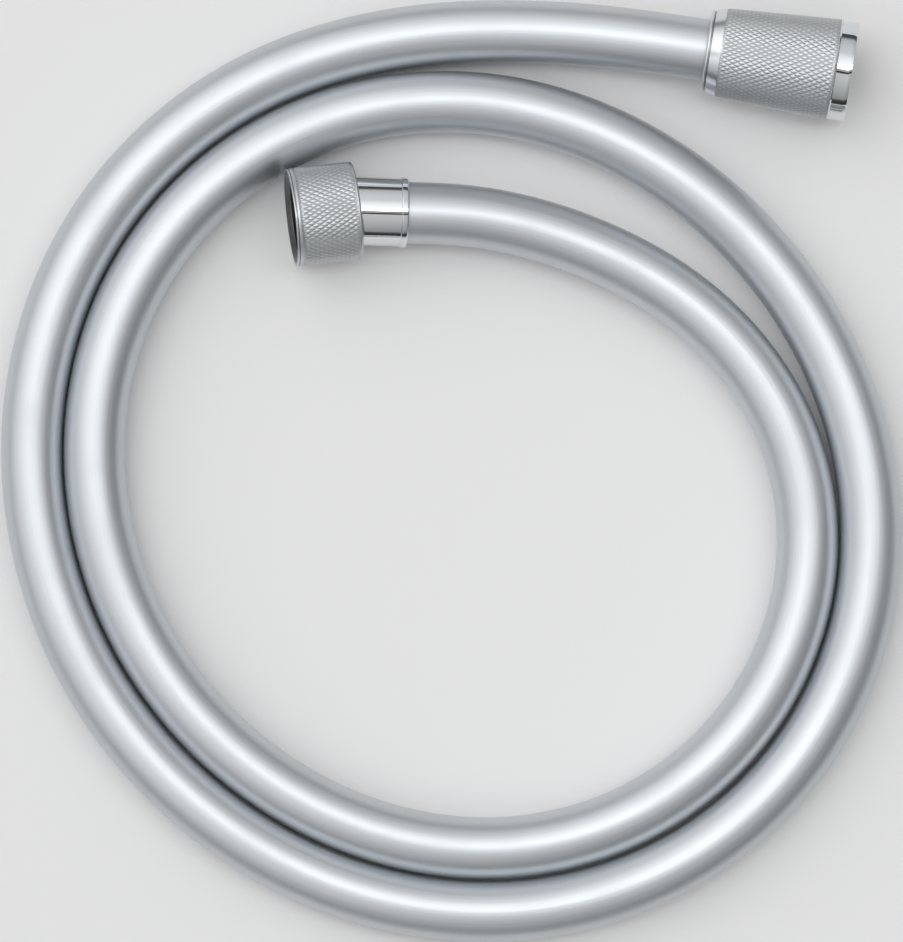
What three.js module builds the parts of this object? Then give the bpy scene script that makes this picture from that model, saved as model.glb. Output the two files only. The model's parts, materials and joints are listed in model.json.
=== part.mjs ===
// A smooth silver shower hose lying flat on the floor in two loose turns, with its two union nuts.
// Millimetres, +Z up. The origin is on the floor, at the middle of the hose's outline.
// Seen from above, +X points to the right and +Y away from the viewer.
// The outer end carries the conical nut for the handset, and the inner end the knurled nut for the wall.
import * as THREE from "three";

// Clearances between pieces
const touchGap = 0.3; // between pieces that bear on each other
const slideGap = 0.35; // around the hose and the ferrule inside the conical nut

// Hose
const hoseDiameter = 14.4;
const hoseBore = 8;
const hoseSides = 12;
const boreSides = 8;
const hoseSteps = 80;
const hoseFloorGap = 0.04; // the hose turns a little about itself between its ends, so its flats tilt

// Where the hose lies: guide points of one smooth curve, as [x, y], from the conical nut to the knurled nut.
// The curve starts at the second point and ends at the last but one. Four points in line at each end
// keep the hose straight inside its fittings.
const hoseGuide = [
  [88.4, 93.9], [72.6, 96.4], [56.8, 98.9], [41.0, 101.4],
  [19.1, 103.5], [-10.2, 103.0], [-43.9, 94.4], [-74.2, 73.0],
  [-94.9, 39.9], [-100.9, -0.8], [-90.7, -41.8], [-65.6, -76.1],
  [-30.0, -98.6], [10.7, -106.0], [49.9, -96.8], [81.2, -72.3],
  [98.8, -36.7], [99.4, 4.0], [82.7, 42.8], [52.2, 72.9],
  [13.5, 88.4], [-26.8, 86.0], [-61.2, 66.1], [-82.3, 32.6],
  [-85.9, -8.1], [-70.9, -47.8], [-39.7, -77.9], [1.2, -91.6],
  [42.2, -84.7], [73.2, -59.0], [86.6, -22.7], [80.3, 13.2],
  [58.6, 39.7], [31.0, 54.1], [7.8, 60.0], [-8.2, 60.4],
  [-24.2, 60.8], [-40.2, 61.2],
];
const settleShare = 0.35; // how much of its lift the hose still has one guide point after a straight end

// Barbed tails
const tailBore = 5.2;
const barbLength = 15;
const barbCount = 4;
const barbSetback = 1.2; // plain stretch between the last barb and the hose's cut end
const barbDepth = 0.45;
const barbRampShare = 0.8; // share of a barb's length over which it rises
const neckDiameter = 8.4;

// Crimp sleeves
const sleeveWall = 0.5;
const sleeveLength = 13.9; // from its rounded lip to the hose's cut end
const sleeveFrontWall = 0.7;
const sleeveLipLength = 1.5;
const sleeveLipRise = 0.25;
const sleeveLipRound = 0.4;
const sleeveFrontRound = 0.4;
const ferruleWall = 0.6;
const ferruleLength = 9.7;

// Female half-inch pipe thread that both nuts have, as its plain bores
const threadCrestDiameter = 18.6;
const threadReliefDepth = 1.2;
const threadLeadIn = 1.1;

// Sealing flanges and washers, which pass through the thread
const sealFlangeClearance = 0.2;
const washerClearance = 0.3;
const washerHole = 11.6;
const washerThickness = 2;

// Conical nut
const coneNutLength = 34.2;
const coneNutReach = 13; // how far it reaches back over the hose from the hose's cut end
const coneRearDiameter = 20.6;
const coneRearChamfer = 0.65;
const coneRearCollarLength = 3.4;
const coneRearKnurlRise = 0.15; // how far the knurl stands proud of the collar beside it
const coneFrontKnurlRise = 0.35;
const coneFrontWall = 1.1; // of the front collar, around the thread relief
const coneFrontCollarLength = 3.7;
const coneFrontChamfer = 0.6;
const coneMouthLength = 3; // stretch at the narrow end that closes in on the hose
const coneSocketDepth = 12.6; // from the open end to the shoulder that the bush's flange bears on

// Swivel between the conical nut and its tail
const tailCollarLength = 0.9;
const spindleDiameter = 10.4;
const bushFlangeLength = 1.8;
const spindleNoseLength = 0.9; // how far the spindle stands out of the bush into the washer's hole
const oRingSection = 1.6;
const oRingGrooveWidth = 2;
const oRingSpacing = 2.7;
const clipThickness = 0.8;
const clipRadialWidth = 1.8;
const clipGrooveDepth = 0.6;
const clipOpening = 75; // degrees of the ring that are open

// Knurled nut
const knurledNutLength = 15.4;
const knurledNutWall = 1.05; // around the thread relief
const knurledNutBackWall = 1.6;
const knurledNutBackRound = 1.1;
const knurledNutFrontChamfer = 0.5;
const sleeveSlack = 0.5; // around the sleeve, which lets the nut hang askew
const flangeThickness = 1.6;
const flangeRun = 5.1; // room behind the thread for the flange while the nut hangs askew
const nutSlack = 2.6; // from the middle of the nut's back wall to the back of the tail's flange

// How the ends lie: the knurled nut rests on its back edge and hangs askew on its sleeve
const tailRise = 5; // degrees that the sleeve climbs towards the knurled nut
const nutAskewSideways = 8.2; // degrees
const nutAskewUpwards = 2; // degrees

// Facets around turned pieces
const nutFacets = 56;
const pieceFacets = 32;
const oRingSides = 8;
const smallFacets = 18;

const up = new THREE.Vector3(0, 0, 1);
const degrees = THREE.MathUtils.degToRad;

const satinHose = new THREE.MeshStandardMaterial({ color: 0xb4b7bb, roughness: 0.36, metalness: 0.55 });
const chrome = new THREE.MeshStandardMaterial({ color: 0xd9dbde, roughness: 0.1, metalness: 1 });
const knurledChrome = new THREE.MeshStandardMaterial({ color: 0xc9cbce, roughness: 0.24, metalness: 1 });
const brass = new THREE.MeshStandardMaterial({ color: 0xb8923f, roughness: 0.34, metalness: 1 });
const rubber = new THREE.MeshStandardMaterial({ color: 0x1d1d1f, roughness: 0.85, metalness: 0 });
const acetal = new THREE.MeshStandardMaterial({ color: 0xe4e2dc, roughness: 0.5, metalness: 0 });
const springSteel = new THREE.MeshStandardMaterial({ color: 0x9a9da1, roughness: 0.3, metalness: 1 });

// Measures that follow from the sizes above
const hoseRadius = hoseDiameter / 2;
const hoseRestHeight = hoseRadius * Math.cos(Math.PI / hoseSides) + hoseFloorGap; // flat side down
const sleeveRadius = hoseRadius + touchGap + sleeveWall;
const ferruleRadius = hoseRadius + touchGap + ferruleWall;

const threadReliefDiameter = threadCrestDiameter + 2 * threadReliefDepth;
const sealFlangeDiameter = threadCrestDiameter - 2 * sealFlangeClearance;
const washerDiameter = threadCrestDiameter - 2 * washerClearance;
const coneFrontDiameter = threadReliefDiameter + 2 * coneFrontWall;
const coneKnurlRearDiameter = coneRearDiameter + 2 * coneRearKnurlRise;
const coneKnurlFrontDiameter = coneFrontDiameter + 2 * coneFrontKnurlRise;
const knurledNutDiameter = threadReliefDiameter + 2 * knurledNutWall;
const knurledNutHole = 2 * (sleeveRadius + sleeveSlack);

const coneOpenEnd = coneNutLength - coneNutReach; // measured from the hose's cut end, as all that follow
const coneShoulder = coneOpenEnd - coneSocketDepth;
const coneCollarBack = 2 * touchGap + sleeveFrontWall;
const bushBack = coneCollarBack + tailCollarLength + touchGap;
const bushFlangeBack = coneShoulder + touchGap;
const bushFront = bushFlangeBack + bushFlangeLength;
const coneWasherBack = bushFront + touchGap;
const bushRadius = ferruleRadius;
const spindleRadius = spindleDiameter / 2;
const bushBoreRadius = spindleRadius + touchGap;
const clipBack = bushFront - 2 * touchGap - clipThickness;
const clipGrooveRadius = spindleRadius - clipGrooveDepth;
const clipInnerRadius = clipGrooveRadius + touchGap;
const clipOuterRadius = clipInnerRadius + clipRadialWidth;
const oRingRadius = bushBoreRadius - touchGap - oRingSection / 2;
const oRingMiddle = (bushBack + clipBack - touchGap) / 2;

const flangeBack = 2 * touchGap + sleeveFrontWall;
const nutPivot = flangeBack - nutSlack; // middle of the nut's back wall, from the hose's cut end
const nutOpenEnd = knurledNutLength - knurledNutBackWall / 2; // measured from the middle of its back wall
const nutWasherBack = knurledNutBackWall / 2 + flangeRun + touchGap;

// The cone lies on its rear collar and on the front end of its knurl, so it climbs towards the open end
const coneLeanRun = coneNutLength - coneFrontCollarLength - coneRearChamfer;
const coneRise = Math.atan2((coneKnurlFrontDiameter - coneRearDiameter) / 2, coneLeanRun);
const coneMouthHeight = (coneRearDiameter / 2) * Math.cos(coneRise) - coneRearChamfer * Math.sin(coneRise);
const coneEndHeight = coneMouthHeight + coneNutReach * Math.sin(coneRise);

// The knurled nut lies on the rounded edge of its back wall, with its open end lifted
const nutRise = degrees(tailRise + nutAskewUpwards);
const nutRoundMiddle = knurledNutBackRound - knurledNutBackWall / 2;
const nutRoundRadius = knurledNutDiameter / 2 - knurledNutBackRound;
const nutPivotHeight =
  nutRoundRadius * Math.cos(nutRise) + knurledNutBackRound - nutRoundMiddle * Math.sin(nutRise);
const wallEndHeight = nutPivotHeight - nutPivot * Math.sin(degrees(tailRise));

// A uniform cubic B-spline through the neighbourhood of its guide points
class HoseRoute extends THREE.Curve {
  constructor(points) {
    super();
    this.points = points;
    this.arcLengthDivisions = 2000;
  }

  getPoint(t, target = new THREE.Vector3()) {
    const spans = this.points.length - 3;
    const first = Math.min(Math.floor(t * spans), spans - 1);
    const u = t * spans - first;
    const weights = [
      (1 - u) ** 3,
      3 * u ** 3 - 6 * u ** 2 + 4,
      -3 * u ** 3 + 3 * u ** 2 + 3 * u + 1,
      u ** 3,
    ];
    target.set(0, 0, 0);
    weights.forEach((weight, k) => target.addScaledVector(this.points[first + k], weight / 6));
    return target;
  }
}

// Height of each guide point: the straight ends follow their fittings, and the rest lies on the floor
function guideHeights(guide) {
  const heights = guide.map(() => hoseRestHeight);
  const straighten = (end, step, endHeight, rise) => {
    const lead = Math.hypot(guide[end][0] - guide[end + step][0], guide[end][1] - guide[end + step][1]);
    for (let k = 0; k < 4; k++) heights[end + k * step] = endHeight + (1 - k) * lead * Math.tan(rise);
    const last = heights[end + 3 * step];
    heights[end + 4 * step] = hoseRestHeight + settleShare * (last - hoseRestHeight);
  };
  straighten(0, 1, coneEndHeight, coneRise);
  straighten(guide.length - 1, -1, wallEndHeight, degrees(tailRise));
  return heights;
}

// A turned piece: a closed outline of [radius, height] turned about +Z
function turned(outline, facets) {
  const points = [...outline, outline[0]].map(([radius, height]) => new THREE.Vector2(radius, height));
  return new THREE.LatheGeometry(points, facets).rotateX(Math.PI / 2);
}

// Points of a rounded corner in an outline, from one angle to another in degrees
function roundCorner(radius, height, round, from, to, steps = 3) {
  return Array.from({ length: steps + 1 }, (_, k) => {
    const angle = degrees(from + ((to - from) * k) / steps);
    return [radius + round * Math.cos(angle), height + round * Math.sin(angle)];
  });
}

function piece(name, geometry, material) {
  const mesh = new THREE.Mesh(geometry, material);
  mesh.name = name;
  return mesh;
}

function hoseTube(route) {
  const ring = (radius, sides) =>
    Array.from({ length: sides }, (_, k) => {
      const angle = (2 * Math.PI * (k + 0.5)) / sides;
      return new THREE.Vector2(radius * Math.cos(angle), radius * Math.sin(angle));
    });
  const boreCorners = hoseBore / 2 / Math.cos(Math.PI / boreSides);
  const section = new THREE.Shape(ring(hoseRadius, hoseSides));
  section.holes.push(new THREE.Path(ring(boreCorners, boreSides)));
  const geometry = new THREE.ExtrudeGeometry(section, { steps: hoseSteps, extrudePath: route });
  return piece("hose_tube", geometry, satinHose);
}

// A crimp sleeve over the hose: open at its rear, and closed at its front around the tail's neck
function crimpSleeve(name, { radius, length, lipLength, lipRise, material }) {
  const bore = hoseRadius + touchGap;
  const front = touchGap + sleeveFrontWall;
  const lipRadius = radius + lipRise;
  const lip = lipLength
    ? [
        ...roundCorner(lipRadius - sleeveLipRound, -length + sleeveLipRound, sleeveLipRound, -90, 0),
        ...roundCorner(lipRadius - lipRise, -length + lipLength - lipRise, lipRise, 0, 90),
      ]
    : [[radius, -length]];
  const outline = [
    [bore, -length],
    ...lip,
    ...roundCorner(radius - sleeveFrontRound, front - sleeveFrontRound, sleeveFrontRound, 0, 90),
    [neckDiameter / 2 + touchGap, front],
    [neckDiameter / 2 + touchGap, touchGap],
    [bore, touchGap],
  ];
  return piece(name, turned(outline, pieceFacets), material);
}

// A barbed tail pushed into the hose, which carries the given outline in front of the hose's cut end
function barbedTail(name, headOutline) {
  const crest = hoseBore / 2 - touchGap;
  const root = crest - barbDepth;
  const pitch = (barbLength - barbSetback) / barbCount;
  const barbs = Array.from({ length: barbCount }, (_, k) => [
    [root, -barbLength + k * pitch],
    [crest, -barbLength + (k + barbRampShare) * pitch],
  ]).flat();
  const front = headOutline[headOutline.length - 1][1];
  const outline = [
    [tailBore / 2, -barbLength],
    ...barbs,
    [root, touchGap],
    ...headOutline,
    [tailBore / 2, front],
  ];
  return piece(name, turned(outline, smallFacets), brass);
}

function washer(name, back) {
  const front = back + washerThickness;
  const outline = [
    [washerHole / 2, back],
    [washerDiameter / 2, back],
    [washerDiameter / 2, front],
    [washerHole / 2, front],
  ];
  return piece(name, turned(outline, pieceFacets), rubber);
}

function conicalNut() {
  const rear = -coneNutReach;
  const rearRadius = coneRearDiameter / 2;
  const frontRadius = coneFrontDiameter / 2;
  const knurlRear = rear + coneRearCollarLength;
  const knurlFront = coneOpenEnd - coneFrontCollarLength;
  const mouthRadius = hoseRadius + slideGap;
  const ferruleRoom = ferruleRadius + slideGap;
  const reliefRadius = threadReliefDiameter / 2;
  const crestRadius = threadCrestDiameter / 2;
  const threadBack = coneWasherBack + touchGap;
  const outline = [
    [mouthRadius, rear],
    [rearRadius - coneRearChamfer, rear],
    [rearRadius, rear + coneRearChamfer],
    [rearRadius, knurlRear],
    [coneKnurlRearDiameter / 2, knurlRear],
    [coneKnurlFrontDiameter / 2, knurlFront],
    [frontRadius, knurlFront],
    [frontRadius, coneOpenEnd - coneFrontChamfer],
    [frontRadius - coneFrontChamfer, coneOpenEnd],
    [crestRadius + threadLeadIn, coneOpenEnd],
    [crestRadius, coneOpenEnd - threadLeadIn],
    [crestRadius, threadBack],
    [reliefRadius, threadBack],
    [reliefRadius, coneShoulder],
    [ferruleRoom, coneShoulder],
    [ferruleRoom, rear + coneMouthLength],
    [mouthRadius, rear + coneMouthLength],
  ];
  return piece("conical_nut", turned(outline, nutFacets), knurledChrome);
}

// The handset end's tail: behind the collar it sits in the hose, and in front of it it is a spindle
function spindleTail() {
  const collarFront = coneCollarBack + tailCollarLength;
  const grooveRadius = oRingRadius - oRingSection / 2 - touchGap;
  const grooves = [oRingMiddle - oRingSpacing / 2, oRingMiddle + oRingSpacing / 2].flatMap((middle) => [
    [spindleRadius, middle - oRingGrooveWidth / 2],
    [grooveRadius, middle - oRingGrooveWidth / 2],
    [grooveRadius, middle + oRingGrooveWidth / 2],
    [spindleRadius, middle + oRingGrooveWidth / 2],
  ]);
  const clipFront = clipBack + clipThickness;
  return barbedTail("cone_end_tail", [
    [neckDiameter / 2, touchGap],
    [neckDiameter / 2, coneCollarBack],
    [ferruleRadius, coneCollarBack],
    [ferruleRadius, collarFront],
    [spindleRadius, collarFront],
    ...grooves,
    [spindleRadius, clipBack - touchGap],
    [clipGrooveRadius, clipBack - touchGap],
    [clipGrooveRadius, clipFront + touchGap],
    [spindleRadius, clipFront + touchGap],
    [spindleRadius, bushFront + spindleNoseLength],
  ]);
}

function swivelBush() {
  const clipRoom = clipOuterRadius + touchGap;
  const outline = [
    [bushBoreRadius, bushBack],
    [bushRadius, bushBack],
    [bushRadius, bushFlangeBack],
    [sealFlangeDiameter / 2, bushFlangeBack],
    [sealFlangeDiameter / 2, bushFront],
    [clipRoom, bushFront],
    [clipRoom, clipBack - touchGap],
    [bushBoreRadius, clipBack - touchGap],
  ];
  return piece("swivel_bush", turned(outline, pieceFacets), acetal);
}

function spindleSeal(name, middle) {
  const geometry = new THREE.TorusGeometry(oRingRadius, oRingSection / 2, oRingSides, smallFacets);
  return piece(name, geometry.translate(0, 0, middle), rubber);
}

// An open ring in the spindle's last groove
function spindleClip() {
  const start = degrees(clipOpening / 2);
  const end = 2 * Math.PI - start;
  const ring = new THREE.Shape();
  ring.absarc(0, 0, clipOuterRadius, start, end, false);
  ring.absarc(0, 0, clipInnerRadius, end, start, true);
  const geometry = new THREE.ExtrudeGeometry(ring, {
    depth: clipThickness,
    bevelEnabled: false,
    curveSegments: smallFacets,
  });
  return piece("spindle_clip", geometry.translate(0, 0, clipBack), springSteel);
}

function wallTail() {
  return barbedTail("wall_end_tail", [
    [neckDiameter / 2, touchGap],
    [neckDiameter / 2, flangeBack],
    [sealFlangeDiameter / 2, flangeBack],
    [sealFlangeDiameter / 2, flangeBack + flangeThickness],
  ]);
}

function knurledNut() {
  const back = -knurledNutBackWall / 2;
  const radius = knurledNutDiameter / 2;
  const crestRadius = threadCrestDiameter / 2;
  const reliefRadius = threadReliefDiameter / 2;
  const threadBack = -back + flangeRun;
  const round = knurledNutBackRound;
  const outline = [
    [knurledNutHole / 2, back],
    ...roundCorner(radius - round, back + round, round, -90, 0),
    [radius, nutOpenEnd - knurledNutFrontChamfer],
    [radius - knurledNutFrontChamfer, nutOpenEnd],
    [crestRadius + threadLeadIn, nutOpenEnd],
    [crestRadius, nutOpenEnd - threadLeadIn],
    [crestRadius, threadBack],
    [reliefRadius, threadBack],
    [reliefRadius, -back],
    [knurledNutHole / 2, -back],
  ];
  return piece("knurled_nut", turned(outline, nutFacets), knurledChrome);
}

// A group at the hose's cut end, with +Z along the fitting and away from the hose
function endGroup(route, at, outwards) {
  const group = new THREE.Group();
  const axis = route.getTangentAt(at).multiplyScalar(outwards);
  group.position.copy(route.getPointAt(at));
  group.quaternion.setFromUnitVectors(up, axis);
  group.userData.axis = axis;
  return group;
}

function coneEnd(route) {
  const group = endGroup(route, 0, -1);
  const ferrule = { radius: ferruleRadius, length: ferruleLength, lipLength: 0, lipRise: 0, material: brass };
  group.add(
    crimpSleeve("cone_end_ferrule", ferrule),
    spindleTail(),
    spindleSeal("spindle_o_ring_rear", oRingMiddle - oRingSpacing / 2),
    spindleSeal("spindle_o_ring_front", oRingMiddle + oRingSpacing / 2),
    spindleClip(),
    swivelBush(),
    washer("cone_end_washer", coneWasherBack),
    conicalNut(),
  );
  return group;
}

// The knurled nut and its washer, turned askew about the middle of the nut's back wall
function nutGroup(wallEnd) {
  const axis = wallEnd.userData.axis;
  const heading = Math.atan2(axis.y, axis.x) + degrees(nutAskewSideways);
  const flat = Math.cos(nutRise);
  const nutAxis = new THREE.Vector3(flat * Math.cos(heading), flat * Math.sin(heading), Math.sin(nutRise));
  const group = new THREE.Group();
  group.position.copy(wallEnd.position).addScaledVector(axis, nutPivot);
  group.quaternion.setFromUnitVectors(up, nutAxis);
  group.add(washer("wall_end_washer", nutWasherBack), knurledNut());
  return group;
}

function wallEnd(route) {
  const group = endGroup(route, 1, 1);
  const sleeve = {
    radius: sleeveRadius,
    length: sleeveLength,
    lipLength: sleeveLipLength,
    lipRise: sleeveLipRise,
    material: chrome,
  };
  group.add(crimpSleeve("wall_end_sleeve", sleeve), wallTail());
  return group;
}

const heights = guideHeights(hoseGuide);
const route = new HoseRoute(hoseGuide.map(([x, y], k) => new THREE.Vector3(x, y, heights[k])));
const wallFitting = wallEnd(route);

const showerHose = new THREE.Group();
showerHose.name = "shower_hose";
showerHose.add(hoseTube(route), coneEnd(route), wallFitting, nutGroup(wallFitting));

export default showerHose;
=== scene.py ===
"""Looks of the shower hose: a smooth silver hose lying in two loose turns, with its two union nuts.

Every piece is a surface of rings. A ring has a centre, two directions across it and a radius, and
one Geometry Nodes tree turns the rings into a closed surface and cuts the knurls and threads.
"""

from __future__ import annotations

import json
import logging
import math
from dataclasses import dataclass, field
from enum import Enum
from typing import Sequence

import bpy
import numpy as np
from mathutils import Matrix, Vector
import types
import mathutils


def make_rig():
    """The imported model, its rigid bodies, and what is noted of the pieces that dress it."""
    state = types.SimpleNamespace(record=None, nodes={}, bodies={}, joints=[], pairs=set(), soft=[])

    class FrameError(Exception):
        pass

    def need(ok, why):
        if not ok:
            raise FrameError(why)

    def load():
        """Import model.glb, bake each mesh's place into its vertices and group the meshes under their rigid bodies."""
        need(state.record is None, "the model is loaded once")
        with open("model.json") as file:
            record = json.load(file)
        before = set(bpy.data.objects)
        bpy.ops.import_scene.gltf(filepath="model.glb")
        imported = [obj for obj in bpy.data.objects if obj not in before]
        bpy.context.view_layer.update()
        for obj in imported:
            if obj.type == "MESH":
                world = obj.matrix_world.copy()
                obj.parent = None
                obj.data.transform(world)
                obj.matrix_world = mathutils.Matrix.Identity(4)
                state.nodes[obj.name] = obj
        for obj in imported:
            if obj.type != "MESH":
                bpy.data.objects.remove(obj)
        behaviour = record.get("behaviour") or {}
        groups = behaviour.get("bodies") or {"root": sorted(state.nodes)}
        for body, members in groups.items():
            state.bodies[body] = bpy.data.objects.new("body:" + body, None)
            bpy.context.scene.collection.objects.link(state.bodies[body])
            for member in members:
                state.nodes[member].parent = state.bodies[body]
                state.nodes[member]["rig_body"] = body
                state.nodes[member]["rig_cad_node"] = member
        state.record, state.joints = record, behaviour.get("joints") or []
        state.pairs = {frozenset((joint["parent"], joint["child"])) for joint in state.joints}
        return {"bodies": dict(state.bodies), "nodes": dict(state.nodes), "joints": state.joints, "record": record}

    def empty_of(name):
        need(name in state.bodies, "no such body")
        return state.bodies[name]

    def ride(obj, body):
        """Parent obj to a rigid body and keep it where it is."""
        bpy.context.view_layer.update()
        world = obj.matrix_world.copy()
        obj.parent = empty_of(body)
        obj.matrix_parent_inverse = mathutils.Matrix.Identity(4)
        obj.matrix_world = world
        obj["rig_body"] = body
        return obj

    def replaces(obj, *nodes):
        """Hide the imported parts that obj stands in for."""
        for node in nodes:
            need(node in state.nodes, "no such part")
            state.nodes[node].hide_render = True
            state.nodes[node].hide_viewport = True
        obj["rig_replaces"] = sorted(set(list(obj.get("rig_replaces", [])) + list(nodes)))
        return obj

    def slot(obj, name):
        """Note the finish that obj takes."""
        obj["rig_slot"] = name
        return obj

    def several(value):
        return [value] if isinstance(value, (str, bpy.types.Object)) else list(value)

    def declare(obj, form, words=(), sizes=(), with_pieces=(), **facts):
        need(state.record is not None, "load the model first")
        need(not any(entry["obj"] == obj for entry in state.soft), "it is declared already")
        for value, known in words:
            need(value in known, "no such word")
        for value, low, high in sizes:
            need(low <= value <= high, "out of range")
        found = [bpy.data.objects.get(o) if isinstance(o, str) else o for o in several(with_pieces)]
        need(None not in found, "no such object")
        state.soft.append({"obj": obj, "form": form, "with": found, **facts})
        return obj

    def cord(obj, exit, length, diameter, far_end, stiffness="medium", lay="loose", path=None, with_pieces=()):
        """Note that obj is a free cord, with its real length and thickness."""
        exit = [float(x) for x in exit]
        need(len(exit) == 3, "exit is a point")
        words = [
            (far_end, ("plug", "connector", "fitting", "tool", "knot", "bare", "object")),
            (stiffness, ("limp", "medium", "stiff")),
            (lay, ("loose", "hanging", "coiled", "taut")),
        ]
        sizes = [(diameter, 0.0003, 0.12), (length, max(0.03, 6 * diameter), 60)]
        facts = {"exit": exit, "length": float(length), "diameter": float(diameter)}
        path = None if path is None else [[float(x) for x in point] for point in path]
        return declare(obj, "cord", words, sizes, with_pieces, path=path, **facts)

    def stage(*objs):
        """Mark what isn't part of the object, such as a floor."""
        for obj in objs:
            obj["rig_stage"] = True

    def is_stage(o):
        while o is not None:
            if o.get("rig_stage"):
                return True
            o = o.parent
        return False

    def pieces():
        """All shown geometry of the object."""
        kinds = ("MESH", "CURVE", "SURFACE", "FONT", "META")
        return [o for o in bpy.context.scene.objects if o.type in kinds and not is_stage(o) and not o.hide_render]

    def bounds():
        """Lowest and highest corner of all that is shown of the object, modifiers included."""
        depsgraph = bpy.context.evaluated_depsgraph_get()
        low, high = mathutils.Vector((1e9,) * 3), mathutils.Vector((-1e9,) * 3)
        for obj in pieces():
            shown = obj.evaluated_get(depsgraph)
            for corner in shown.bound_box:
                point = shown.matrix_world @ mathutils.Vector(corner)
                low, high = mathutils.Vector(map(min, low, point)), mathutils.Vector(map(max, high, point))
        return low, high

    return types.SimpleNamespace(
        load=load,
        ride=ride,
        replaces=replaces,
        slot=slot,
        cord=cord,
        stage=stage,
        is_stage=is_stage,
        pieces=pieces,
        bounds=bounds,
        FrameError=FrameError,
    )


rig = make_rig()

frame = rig.load()
cad_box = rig.bounds()

log = logging.getLogger("shower_hose")

MM = 0.001
TURN = 2 * math.pi
UP = (0.0, 0.0, 1.0)

# Clearances and sizes that the solids have too, in millimetres
TOUCH_GAP = 0.3
SLIDE_GAP = 0.35
HOSE_RADIUS = 7.2
HOSE_BORE_RADIUS = 4.0
THREAD_CREST_RADIUS = 9.3
THREAD_DEPTH = 1.16
THREAD_PITCH = 1.814
THREAD_LEAD_IN = 1.1
THREAD_RUN_OUT = 0.2
THREAD_RELIEF_RADIUS = 10.5
TAIL_BORE_RADIUS = 2.6
BARB_STRETCH = 15.0

BORE_DULL = 0.8  # the insides of the nuts aren't polished
LEAST_ROUGHNESS = 0.02

Socket = bpy.types.NodeSocket
Material = bpy.types.Material
Object = bpy.types.Object

# Rows of an outline, each with the radius, the height, the fillet, how dull it is and its painted shading
Rows = Sequence[Sequence[float]]


class Band(Enum):
    """What a straight stretch of an outline carries."""

    PLAIN = "plain"
    KNURL = "knurl"
    THREAD = "thread"


@dataclass(frozen=True)
class Corner:
    """A corner of a turned piece's outline, in millimetres.

    Args:
        radius: distance from the axis.
        height: place along the axis.
        fillet: radius of its rounding.
        dull: loss of polish here, from 0 to 1.
        shade: painted shading here, from 0 to 1.
        band: what the stretch to the next corner carries.
    """

    radius: float
    height: float
    fillet: float = 0.0
    dull: float = 0.0
    shade: float = 0.0
    band: Band = Band.PLAIN


def corners_at(rows: Rows, radius: float = 0.0, height: float = 0.0) -> list[Corner]:
    """Corners from the rows of an outline.

    Args:
        rows: the rows, in order.
        radius: what their radii are measured from.
        height: what their heights are measured from.

    Returns:
        The corners.
    """
    return [Corner(radius + row[0], height + row[1], *row[2:]) for row in rows]


@dataclass(frozen=True)
class Ring:
    """One ring of a surface, in metres.

    Args:
        centre: its middle.
        side: first direction across it.
        over: second direction across it.
        radius: its radius.
        along: distance along the piece, which patterns follow.
        lid: greatest height of the knurl, from 0 to 1.
        thread: share of the thread's depth.
        knurled: whether the knurl reaches it.
        dull: loss of polish here, from 0 to 1.
        shade: painted shading here, from 0 to 1.
    """

    centre: tuple[float, float, float]
    side: tuple[float, float, float]
    over: tuple[float, float, float]
    radius: float
    along: float
    lid: float = 1.0
    thread: float = 0.0
    knurled: bool = False
    dull: float = 0.0
    shade: float = 0.0


@dataclass(frozen=True)
class Knurl:
    """A diamond knurl, in millimetres.

    Args:
        diamonds: how many diamonds lie around the piece.
        length: length of a diamond along the piece.
        depth: depth of the grooves.
        crest_share: how far from a groove, as a share of the distance between grooves, the top starts.
        steps: steps of the surface in half a diamond.
    """

    diamonds: int = 58
    length: float = 2.04
    depth: float = 0.175
    crest_share: float = 0.45
    steps: int = 3

    @property
    def columns(self) -> int:
        """Columns around the piece, so that each groove runs along edges of the surface."""
        return 2 * self.diamonds * self.steps

    @property
    def row_step(self) -> float:
        """Distance between rings in the knurl."""
        return self.length / (2 * self.steps)


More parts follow.
